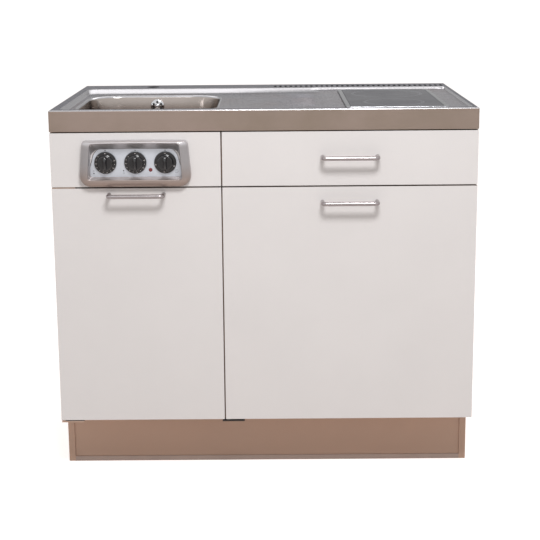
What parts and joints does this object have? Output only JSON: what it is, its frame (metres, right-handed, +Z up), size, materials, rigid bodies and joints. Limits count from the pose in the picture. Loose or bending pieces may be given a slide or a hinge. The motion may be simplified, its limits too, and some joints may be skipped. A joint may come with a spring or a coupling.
{
  "type": "kitchenette unit with sink and hob",
  "caption": "Base cabinet with doors and a drawer under a pressed steel worktop holding a sink bowl, a drainer and a glass hob with rotary controls.",
  "frame": {"origin": "on the floor, under the middle of the unit's overall box", "axes": "+X to the right as seen from the front, +Y towards the wall, +Z up"},
  "size_m": [1, 0.633, 0.9],
  "materials": {
    "front_laminate": "off-white laminate, fine satin surface",
    "carcass_laminate": "taupe laminate",
    "core_board": "raw particle board",
    "back_board": "thin white-faced fibreboard",
    "worktop_steel": "pressed stainless steel, fine linen-like brushing",
    "bowl_steel": "deep-drawn stainless steel, silk polish",
    "polished_steel": "polished",
    "handle_steel": "satin rod",
    "plated_steel": "zinc plated",
    "dark_hinge": "dark painted steel",
    "seal_plastic": "pale flexible strip",
    "waste_plastic": "white moulded plastic",
    "black_plastic": "black moulded plastic",
    "knob_plastic": "black, half gloss, white dial marks",
    "silver_plastic": "silver metallic moulding",
    "plate_silver": "pale silver, fine satin",
    "hob_glass": "dark grey glass ceramic",
    "insulation": "pressed mineral insulation with a resistance track",
    "switch_plastic": "cream thermoset",
    "lamp_red": "clear red lens",
    "runner_white": "white epoxy",
    "drawer_board": "white laminate"
  },
  "bodies": {
    "cabinet": {"left_side_panel": "carcass_laminate", "right_side_panel": "carcass_laminate", "centre_partition": "carcass_laminate", "bottom_panel": "carcass_laminate", "plinth_board": "carcass_laminate", "plinth_seal": "seal_plastic", "back_panel": "back_board", "front_rail": "core_board", "rear_rail": "core_board", "left_mid_rail": "core_board", "right_mid_rail": "core_board", "shelf": "carcass_laminate", "shelf_pins": "plated_steel", "control_front_panel": "front_laminate", "panel_brackets": "plated_steel", "worktop_sheet": "worktop_steel", "worktop_core": "core_board", "worktop_battens": "core_board", "sink_bowl": "bowl_steel", "overflow_rosette": "polished_steel", "overflow_pipe": "black_plastic", "waste_flange": "bowl_steel", "waste_body": "black_plastic", "bottle_trap": "waste_plastic", "waste_pipe": "waste_plastic", "hob_frame": "polished_steel", "hob_glass": "hob_glass", "hob_tray": "plated_steel", "front_heating_element": "insulation", "rear_heating_element": "insulation", "control_surround": "silver_plastic", "control_plate": "plate_silver", "front_zone_regulator": "switch_plastic", "rear_zone_regulator": "switch_plastic", "timer_switch": "switch_plastic", "pilot_lamp": "lamp_red", "terminal_box": "switch_plastic", "cable_gland": "black_plastic", "cabinet_runners": "runner_white", "left_door_hinges": "dark_hinge", "right_door_hinges": "dark_hinge", "door_catches": "black_plastic"},
    "drawer": {"drawer_front": "front_laminate", "drawer_left_side": "drawer_board", "drawer_right_side": "drawer_board", "drawer_back": "drawer_board", "drawer_bottom": "drawer_board", "drawer_handle": "handle_steel", "drawer_runners": "runner_white"},
    "left_door_leaf": {"left_door": "front_laminate", "left_door_handle": "handle_steel"},
    "right_door_leaf": {"right_door": "front_laminate", "right_door_handle": "handle_steel"},
    "front_zone_control": {"front_zone_knob": "knob_plastic", "front_zone_spindle": "plated_steel"},
    "rear_zone_control": {"rear_zone_knob": "knob_plastic", "rear_zone_spindle": "plated_steel"},
    "timer_control": {"timer_knob": "knob_plastic", "timer_spindle": "plated_steel"},
    "strainer": {"strainer_basket": "bowl_steel"}
  },
  "joints": [
    {"name": "left_door_swing", "type": "hinge", "parent": "cabinet", "child": "left_door_leaf", "pos_m": [-0.494, -0.2755, 0.43], "axis": [0, 0, -1], "range_deg": [0, 95]},
    {"name": "right_door_swing", "type": "hinge", "parent": "cabinet", "child": "right_door_leaf", "pos_m": [-0.093, -0.2755, 0.43], "axis": [0, 0, -1], "range_deg": [0, 95]},
    {"name": "drawer_slide", "type": "slide", "parent": "cabinet", "child": "drawer", "axis": [0, -1, 0], "range_m": [0, 0.4]},
    {"name": "front_zone_turn", "type": "hinge", "parent": "cabinet", "child": "front_zone_control", "pos_m": [-0.371, -0.2795, 0.7765], "axis": [0, 1, 0], "range_deg": [0, 290]},
    {"name": "rear_zone_turn", "type": "hinge", "parent": "cabinet", "child": "rear_zone_control", "pos_m": [-0.301, -0.2795, 0.7765], "axis": [0, 1, 0], "range_deg": [0, 290]},
    {"name": "timer_turn", "type": "hinge", "parent": "cabinet", "child": "timer_control", "pos_m": [-0.231, -0.2795, 0.7765], "axis": [0, 1, 0], "range_deg": [0, 300]},
    {"name": "strainer_lift", "type": "slide", "parent": "cabinet", "child": "strainer", "axis": [0, 0, 1], "range_m": [0, 0.16]}
  ]
}
